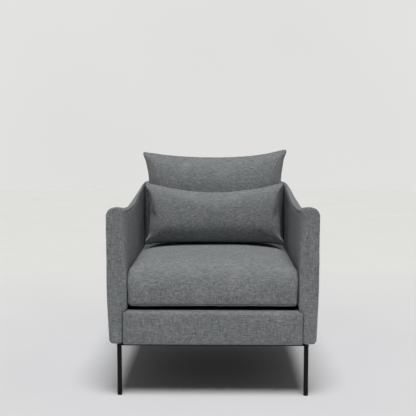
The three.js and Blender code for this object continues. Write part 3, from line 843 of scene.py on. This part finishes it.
def make_seat_cushion():
    """The loose box cushion, flat where its zip is, with a seam near its lower and upper edges."""
    low = (seat_low.x + 0.0005, seat_low.y + 0.002, seat_low.z + 0.0005)
    high = (seat_high.x - 0.0005, seat_high.y - 0.0005, seat_high.z + 0.003)
    crown = 0.026
    flat_top = (high[0], high[1], high[2] - crown)
    cushion = rounded_box("seat_cushion", low, flat_top, 0.012, (72, 80, 18))
    points = get_points(cushion)
    shape_seat(points, low, flat_top, crown)
    set_points(cushion, points)
    inflate(cushion, cap=0.004, pressure=3.0)
    subdivide(cushion)
    points = get_points(cushion)
    beside_arm = arm_low.x - 0.0008
    points[:, 0] = np.clip(points[:, 0] * 1.016, -beside_arm, beside_arm)
    points[:, 2] = np.maximum(points[:, 2], seat_low.z)
    zip_low, zip_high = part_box("seat_cushion_zip")
    zip_z = (zip_low.z + zip_high.z) / 2
    beside = np.maximum(np.abs(points[:, 0]) - zip_high.x, np.abs(points[:, 2] - zip_z) - 0.006)
    flat = (1 - smoothstep(0.0, 0.02, beside)) * (points[:, 1] > 0)
    points[:, 1] += flat * (zip_high.y - 0.001 - points[:, 1])
    set_points(cushion, points)
    lower = drop_onto(cushion, bottom_seam(low, flat_top, low[2] + 0.011))
    upper = drop_onto(cushion, side_seam(low, flat_top, flat_top[2] - 0.016))
    for seam in (lower, upper):
        press_groove(cushion, seam, 0.004, 0.0022)
    points = get_points(cushion)
    soft = 0.0014 * fractal(points, 0.13, 61) + 0.0004 * fractal(points, 0.03, 63)
    push_out(cushion, soft)
    sew("seat_cushion_lower_seam", drop_onto(cushion, lower), "seat_cushion", 0.0009, closed=True)
    sew("seat_cushion_side_seam", drop_onto(cushion, upper), "seat_cushion", 0.0009)
    upholster(cushion, "seat_cushion", 0.75, "seat_cushion_cover", "seat_cushion_foam")


def pillow_grid(count):
    """Positions from -1 to 1, closer together towards the ends."""
    t = np.linspace(-1, 1, count + 1)
    return 0.5 * t + 0.5 * np.sin(t * math.pi / 2)


def pillow_surface(shape, face, u, v):
    """A point of a knife-edge cushion's front or back, upright around its own middle."""
    radius = shape["lower_radius"] if v < 0 else 0.02
    half_x, half_z = shape["half_top"], shape["top"]
    x, z = u * half_x, v * half_z
    core_x = np.clip(x, radius - half_x, half_x - radius)
    core_z = np.clip(z, radius - half_z, half_z - radius)
    length = np.hypot(x - core_x, z - core_z)
    scale = np.where(length > radius, radius / np.maximum(length, 1e-9), 1.0)
    across = (core_x + (x - core_x) * scale) / half_x
    up = (core_z + (z - core_z) * scale) / half_z
    half_width = shape["half_bottom"] + (shape["half_top"] - shape["half_bottom"]) * (up + 1) / 2
    waist = shape["waist"]
    from_waist = np.where(up > waist, (up - waist) / (1 - waist), (waist - up) / (1 + waist))
    half_width = half_width * (1 - shape["pinch"] * (1 - np.clip(from_waist, 0, 1) ** 2))
    half_width = half_width - shape["notch"] * np.exp(-(((up + 0.66) / 0.19) ** 2))
    rise = np.where(across < 0, shape["rise_left"], shape["rise_right"])
    top = shape["top"] + rise * np.abs(across) ** shape["rise_power"]
    past_zip = np.clip((np.abs(across) - shape["ear_start"]) / (1 - shape["ear_start"]), 0, 1)
    bottom = shape["bottom"] + shape["bottom_rise"] * past_zip**1.8
    edge_power = np.where(v < 0, shape["lower_fullness"], 2.4)
    plumpness = (1 - np.abs(u) ** shape["fullness"]) * (1 - np.abs(v) ** edge_power)
    swell = shape["thickness"] / 2 * plumpness**0.55
    z = np.where(up > 0, up * top, up * bottom)
    return across * half_width + shape["shift"], face * (0.003 + swell), z


def pillow_solid(name, shape, across=96, up=48):
    """The closed cushion as a grid of quads, and its rim as pairs of vertex numbers."""
    points, faces = [], []
    for face in (-1, 1):
        for v in pillow_grid(up):
            for u in pillow_grid(across):
                points.append([float(c) for c in pillow_surface(shape, face, u, v)])
    stride = across + 1
    layer = stride * (up + 1)
    for j in range(up):
        for i in range(across):
            a = j * stride + i
            faces.append((a, a + 1, a + stride + 1, a + stride))
            b = a + layer
            faces.append((b, b + stride, b + stride + 1, b + 1))
    border = list(range(across))
    border += [j * stride + across for j in range(up)]
    border += [up * stride + i for i in range(across, 0, -1)]
    border += [j * stride for j in range(up, 0, -1)]
    for a, b in zip(border, border[1:] + border[:1]):
        faces.append((a, a + layer, b + layer, b))
    obj = make_object(name, points, faces)
    face_outwards(obj)
    return obj, [(a, a + layer) for a in border]


def pucker(obj, corners, creases):
    """Presses short creases that run in from the corners. Each is an angle, a length, a width and a depth."""
    points = get_points(obj)
    pressed = np.zeros(len(points))
    for tip_x, tip_z in corners:
        inward_x = -math.copysign(1, tip_x) * (points[:, 0] - tip_x)
        inward_z = -math.copysign(1, tip_z) * (points[:, 2] - tip_z)
        distance = np.hypot(inward_x, inward_z)
        for angle, length, width, depth in creases:
            along = inward_x * math.sin(angle) + inward_z * math.cos(angle)
            off = inward_x * math.cos(angle) - inward_z * math.sin(angle)
            bend = off - 0.12 * along**2 / length
            line = np.exp(-((bend / width) ** 2))
            reach = smoothstep(0.004, 0.02, along) * (1 - smoothstep(length * 0.55, length, along))
            near = distance < length * 1.3
            pressed += depth * line * reach * near
    push_out(obj, -pressed)


PILLOWS = {
    "back_cushion": {
        "middle_z": 0.641,
        "lean": math.radians(9),
        "half_top": 0.308,
        "half_bottom": 0.282,
        "shift": 0.004,
        "pinch": 0.068,
        "waist": 0.3,
        "top": 0.166,
        "rise_left": 0.0268,
        "rise_right": 0.0372,
        "rise_power": 2.2,
        "bottom": 0.184,
        "bottom_rise": 0.004,
        "ear_start": 0.64,
        "notch": 0.0,
        "thickness": 0.135,
        "fullness": 3.4,
        "lower_fullness": 2.4,
        "lower_radius": 0.02,
        "creases": ((0.25, 0.09, 0.006, 0.003), (0.9, 0.07, 0.006, 0.0025)),
        "lower_creases": ((0.25, 0.09, 0.006, 0.003), (0.9, 0.07, 0.006, 0.0025)),
    },
    "lumbar_pillow": {
        "middle_z": 0.5825,
        "lean": math.radians(12),
        "half_top": 0.286,
        "half_bottom": 0.289,
        "shift": 0.003,
        "pinch": 0.09,
        "waist": -0.05,
        "top": 0.093,
        "rise_left": 0.043,
        "rise_right": 0.043,
        "rise_power": 1.8,
        "bottom": 0.112,
        "bottom_rise": 0.019,
        "ear_start": 0.66,
        "notch": 0.006,
        "thickness": 0.112,
        "fullness": 4.6,
        "lower_fullness": 2.9,
        "lower_radius": 0.032,
        "creases": ((0.3, 0.085, 0.006, 0.006), (0.75, 0.055, 0.005, 0.004), (1.2, 0.075, 0.006, 0.003)),
        "lower_creases": (),
    },
}


def lean_back(name, points):
    """Leans a pillow's points back about its own middle and moves them into the chair."""
    low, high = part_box(f"{name}_cover")
    middle = np.array([0, (low.y + high.y) / 2, PILLOWS[name]["middle_z"]])
    lean = PILLOWS[name]["lean"]
    c, s = math.cos(lean), math.sin(lean)
    y = points[:, 1] * c + points[:, 2] * s
    z = -points[:, 1] * s + points[:, 2] * c
    return np.stack([points[:, 0], y, z], axis=1) + middle


def make_pillow(name, shape):
    """A knife-edge pillow: swelled, gathered along its seam, creased at its corners and leaned back."""
    pillow, rim = pillow_solid(name, shape)
    start = get_points(pillow)
    at_zip = (np.abs(start[:, 0]) < 0.18) & (start[:, 2] < -shape["bottom"] + 0.004)
    inflate(pillow, pressure=4.0, cap=0.008, held=np.where(at_zip, 1.0, 0.0))
    subdivide(pillow)
    points = get_points(pillow)
    from_seam = distance_to([(points[a] + points[b]) / 2 for a, b in rim], points)
    gather = 0.0011 * np.exp(-((from_seam - 0.012) / 0.012) ** 2) * fractal(points, 0.012, 71)
    push_out(pillow, 0.0016 * fractal(points, 0.12, 73) + gather)
    top, bottom = shape["top"] + shape["rise_right"], shape["bottom"] + shape["bottom_rise"]
    pucker(pillow, [(sign * shape["half_top"], top) for sign in (-1, 1)], shape["creases"])
    pucker(pillow, [(sign * shape["half_bottom"], -bottom) for sign in (-1, 1)], shape["lower_creases"])
    points = lean_back(name, get_points(pillow))
    set_points(pillow, points)
    cord = [(points[a] + points[b]) / 2 for a, b in rim]
    sew(f"{name}_seam", resample(cord, 0.003, closed=True), name, 0.0013, closed=True)
    upholster(pillow, name, 0.6, f"{name}_cover", f"{name}_filling")


# ---------------------------------------------------------------- zips

SLIDER_BODIES = {
    "seat_cushion": "seat_zip_slider",
    "back_cushion": "back_zip_slider",
    "lumbar_pillow": "lumbar_zip_slider",
}
ZIP_WIDTH = 0.008


def joined(name, parts):
    """One object from several, which are removed."""
    points, faces = [], []
    for part in parts:
        start = len(points)
        points += [vertex.co.copy() for vertex in part.data.vertices]
        faces += [[start + index for index in polygon.vertices] for polygon in part.data.polygons]
        bpy.data.objects.remove(part)
    return make_object(name, points, faces)


def zip_points(length):
    """A nylon coil that winds along X, just outside the surface at z = 0, towards -Z."""
    pitch, radius, points_per_turn = 0.0018, 0.0013, 8
    turns = int(length / pitch)
    angle = np.linspace(0, turns * 2 * math.pi, turns * points_per_turn)
    along = np.linspace(-length / 2, length / 2, len(angle))
    return np.stack([along, 1.6 * radius * np.cos(angle), -0.4 * radius + radius * np.sin(angle)], axis=1)


def make_zip(name, length, settle):
    """A coil zip on its tape. settle moves points from the zip's own place to the chair."""
    low, high = (-length / 2, -ZIP_WIDTH / 2, -0.0009), (length / 2, ZIP_WIDTH / 2, 0.0012)
    tape = rounded_box(f"{name}_tape", low, high, 0.0005, (60, 4, 2))
    coil = tube(f"{name}_coil", zip_points(length - 0.004), 0.0005, sides=5)
    whole = joined(f"{name}_coil_zip", [tape, coil])
    set_points(whole, settle(get_points(whole)))
    face_outwards(whole)
    dress(whole, ZIP_TAPE, name, "zip_tape", f"{name}_zip")


def make_slider(name, length, settle):
    """A zip slider: a plate and its bridge, with a ring to pull it by."""
    low, high = (-0.006, -0.004, -0.0034), (0.006, 0.004, -0.0022)
    plate = rounded_box(f"{name}_plate", low, high, 0.0006, (12, 8, 3))
    points = get_points(plate)
    points[:, 1] *= 1 - 0.3 * smoothstep(0.0, 0.006, points[:, 0])
    set_points(plate, points)
    arch = [(0.004 * math.cos(a), 0, -0.0032 - 0.0018 * math.sin(a)) for a in np.linspace(0, math.pi, 13)]
    bridge = tube(f"{name}_bridge", arch, 0.0007)
    ring = []
    for angle in np.linspace(0, 2 * math.pi, 40, endpoint=False):
        ring.append((0.0125 + 0.0092 * math.cos(angle), 0.0023 * math.sin(angle), -0.0042))
    tab = tube(f"{name}_tab", ring, 0.0007, closed=True)
    whole = joined(f"{name}_pull", [plate, bridge, tab])
    offset = np.array([-length / 2 + 0.008, 0, 0])
    set_points(whole, settle(get_points(whole) + offset))
    face_outwards(whole)
    dress(whole, ZINC, SLIDER_BODIES[name], "zip_metal", f"{name}_slider")


def on_seat(points):
    """Moves a zip's points to the rear of the seat cushion."""
    low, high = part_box("seat_cushion_zip")
    middle = np.array([0, high.y, (low.z + high.z) / 2])
    return np.stack([points[:, 0], -points[:, 2], points[:, 1]], axis=1) + middle


def on_pillow(name):
    """How a zip's points move to the lower edge of a pillow."""
    return lambda points: lean_back(name, points - np.array([0, 0, PILLOWS[name]["bottom"]]))


def make_zips():
    """A zip and its slider for each loose cushion."""
    for name in SLIDER_BODIES:
        settle = on_pillow(name) if name in PILLOWS else on_seat
        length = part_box(f"{name}_zip")[1].x * 2
        make_zip(name, length, settle)
        make_slider(name, length, settle)


# ---------------------------------------------------------------- deck, dust cover and steel base


def make_deck():
    """The black pad over the springs, with four stitched rows."""
    deck = rounded_box("deck", deck_low, deck_high, 0.0035, (100, 110, 4))
    points = get_points(deck)
    upper = smoothstep(deck_low.z, deck_high.z, points[:, 2])
    stitch = 0.0
    for offset in (-0.195, -0.065, 0.065, 0.195):
        stitch = stitch + np.exp(-(((points[:, 0] - offset) / 0.004) ** 2))
    points[:, 2] -= upper * (0.0022 * stitch + 0.0006 + 0.0004 * fractal(points, 0.07, 81))
    set_points(deck, points)
    dress(deck, LINING, "frame", "black_lining", "deck_pad")


def make_dust_cover():
    """The cloth stapled under the seat: it sags a little between the rails."""
    low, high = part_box("dust_cover")
    cloth = rounded_box("dust_cover_cloth", low, (high.x, high.y, low.z + 0.0008), 0.0003, (80, 90, 1))
    points = get_points(cloth)
    u = points[:, 0] / high.x
    v = (points[:, 1] - (low.y + high.y) / 2) / (high.y - low.y) * 2
    ripple = 0.0008 * (fractal(points, 0.08, 91) + 0.3) * (1 - u**8) * (1 - v**8)
    sag = 0.003 * (1 - u**2) * (1 - v**2) + ripple
    points[:, 2] -= np.maximum(sag, 0) * smoothstep(0.1, 0.3, (1 - np.abs(u)) + (1 - np.abs(v)))
    set_points(cloth, points)
    dress(cloth, LINING, "frame", "black_lining", "dust_cover")
    inset, spacing, crown = 0.008, 0.045, 0.009
    staples = []
    for sign in (-1, 1):
        side = sign * (high.x - inset)
        for y in np.arange(low.y + 0.04, high.y - 0.03, spacing):
            staples.append(((side, y - crown / 2), (side, y + crown / 2)))
        end = (low.y + high.y) / 2 + sign * ((high.y - low.y) / 2 - inset)
        for x in np.arange(low.x + 0.04, high.x - 0.03, spacing):
            staples.append(((x - crown / 2, end), (x + crown / 2, end)))
    parts = []
    under = low.z - 0.0002
    for (x0, y0), (x1, y1) in staples:
        path = [(x0, y0, under + 0.002), (x0, y0, under), (x1, y1, under), (x1, y1, under + 0.002)]
        parts.append(tube("staple", path, 0.0004, sides=6))
    dress(joined("dust_cover_staples", parts), ZINC, "frame", "zinc_plated_steel")


def lathe(name, middle, profile, segments=32):
    """A closed turned shape from (radius, z) pairs that start and end on the axis."""
    x, y = middle
    points, faces = [(x, y, profile[0][1])], []
    for radius, z in profile[1:-1]:
        for i in range(segments):
            angle = 2 * math.pi * i / segments
            points.append((x + radius * math.cos(angle), y + radius * math.sin(angle), z))
    points.append((x, y, profile[-1][1]))
    rings = len(profile) - 2
    for i in range(segments):
        j = (i + 1) % segments
        faces.append((0, 1 + j, 1 + i))
        for ring in range(rings - 1):
            a = 1 + ring * segments
            faces.append((a + i, a + j, a + segments + j, a + segments + i))
        last = 1 + (rings - 1) * segments
        faces.append((last + i, last + j, len(points) - 1))
    obj = make_object(name, points, faces)
    face_outwards(obj)
    return obj


def rounded_profile(radius, low, high, edge):
    """A cylinder's outline with rounded edges at its bottom and top."""
    profile = [(0, low)]
    for step in range(7):
        angle = math.radians(15 * step)
        profile.append((radius - edge + edge * math.sin(angle), low + edge - edge * math.cos(angle)))
    for step in range(7):
        angle = math.radians(15 * step)
        profile.append((radius - edge + edge * math.cos(angle), high - edge + edge * math.sin(angle)))
    profile.append((0, high))
    return profile


def make_base():
    """Round tube legs on their glides, welded to flat rails."""
    for corner in CORNERS:
        low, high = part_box(f"leg_{corner}")
        middle = ((low.x + high.x) / 2, (low.y + high.y) / 2)
        radius = (high.x - low.x) / 2
        leg = lathe(f"base_leg_{corner}", middle, rounded_profile(radius, low.z, high.z, 0.0012))
        dress(leg, STEEL, "frame", "powder_coated_steel", f"leg_{corner}")
        glide_low, glide_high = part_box(f"leg_glide_{corner}")
        glide_radius = (glide_high.x - glide_low.x) / 2
        profile = rounded_profile(glide_radius, glide_low.z, glide_high.z, 0.0012)
        glide = lathe(f"base_glide_{corner}", middle, profile)
        dress(glide, PLASTIC, "frame", "black_plastic", f"leg_glide_{corner}")
        rail_low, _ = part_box("base_rail_front")
        ring = []
        for angle in np.linspace(0, 2 * math.pi, 28, endpoint=False):
            reach = radius + 0.0004 + 0.0003 * math.sin(9 * angle)
            x, y = middle[0] + reach * math.cos(angle), middle[1] + reach * math.sin(angle)
            ring.append((x, y, rail_low.z - 0.0002))
        weld = tube(f"base_weld_{corner}", ring, 0.0012, closed=True)
        dress(weld, STEEL, "frame", "powder_coated_steel")
    for edge in ("front", "rear", "left", "right"):
        low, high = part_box(f"base_rail_{edge}")
        counts = (60, 4, 3) if edge in ("front", "rear") else (4, 60, 3)
        rail = rounded_box(f"base_bar_{edge}", low, high, 0.0009, counts)
        dress(rail, STEEL, "frame", "powder_coated_steel", f"base_rail_{edge}")


# ---------------------------------------------------------------- camera, lights and floor


def add_camera():
    """In front of the chair at standing eye height, turned and tilted down a little."""
    data = bpy.data.cameras.new("camera")
    data.lens = 69.07
    data.sensor_width = 36
    camera = bpy.data.objects.new("camera", data)
    camera.location = (0.0223, FRONT_Y - 2.665, 0.921)
    camera.rotation_euler = (math.radians(90 - 5.759), 0, math.radians(0.815))
    bpy.context.scene.collection.objects.link(camera)
    bpy.context.scene.camera = camera


def add_lights():
    """A very soft light from above and a little in front, and an even, weaker light from all round."""
    world = bpy.data.worlds.new("studio")
    world.use_nodes = True
    background = world.node_tree.nodes["Background"]
    background.inputs["Color"].default_value = (0.94, 0.95, 0.96, 1)
    background.inputs["Strength"].default_value = 0.13
    bpy.context.scene.world = world
    data = bpy.data.lights.new("overhead", "SUN")
    data.energy = 2.75
    data.angle = math.radians(30)
    light = bpy.data.objects.new("overhead", data)
    light.rotation_euler = (math.radians(14), math.radians(1.5), 0)
    bpy.context.scene.collection.objects.link(light)


def add_stage():
    """A pale floor, and a plain pale backdrop all round that neither lights nor shades the chair."""
    half = 9.0
    corners = [(-half, -half, 0), (half, -half, 0), (half, half, 0), (-half, half, 0)]
    floor = make_object("floor", corners, [(0, 1, 2, 3)])
    floor.data.materials.append(floor_paint())
    sides = 96
    angles = [i * 2 * math.pi / sides for i in range(sides)]
    points = [(half * math.cos(angle), half * math.sin(angle), z) for z in (-0.01, half) for angle in angles]
    faces = [(i, (i + 1) % sides, sides + (i + 1) % sides, sides + i) for i in range(sides)]
    backdrop = make_object("backdrop", points, faces)
    backdrop.data.materials.append(backdrop_paint())
    for ray in ("visible_diffuse", "visible_glossy", "visible_shadow"):
        setattr(backdrop, ray, False)


bpy.context.scene.view_settings.view_transform = "Standard"
paint_cad_nodes()
for side_name, side_sign in SIDES:
    make_arm(side_name, side_sign)
make_apron()
make_back_cover()
make_back_pad()
make_seat_cushion()
for pillow_name, pillow_shape in PILLOWS.items():
    make_pillow(pillow_name, pillow_shape)
make_zips()
make_deck()
make_dust_cover()
make_base()
add_camera()
add_lights()
add_stage()
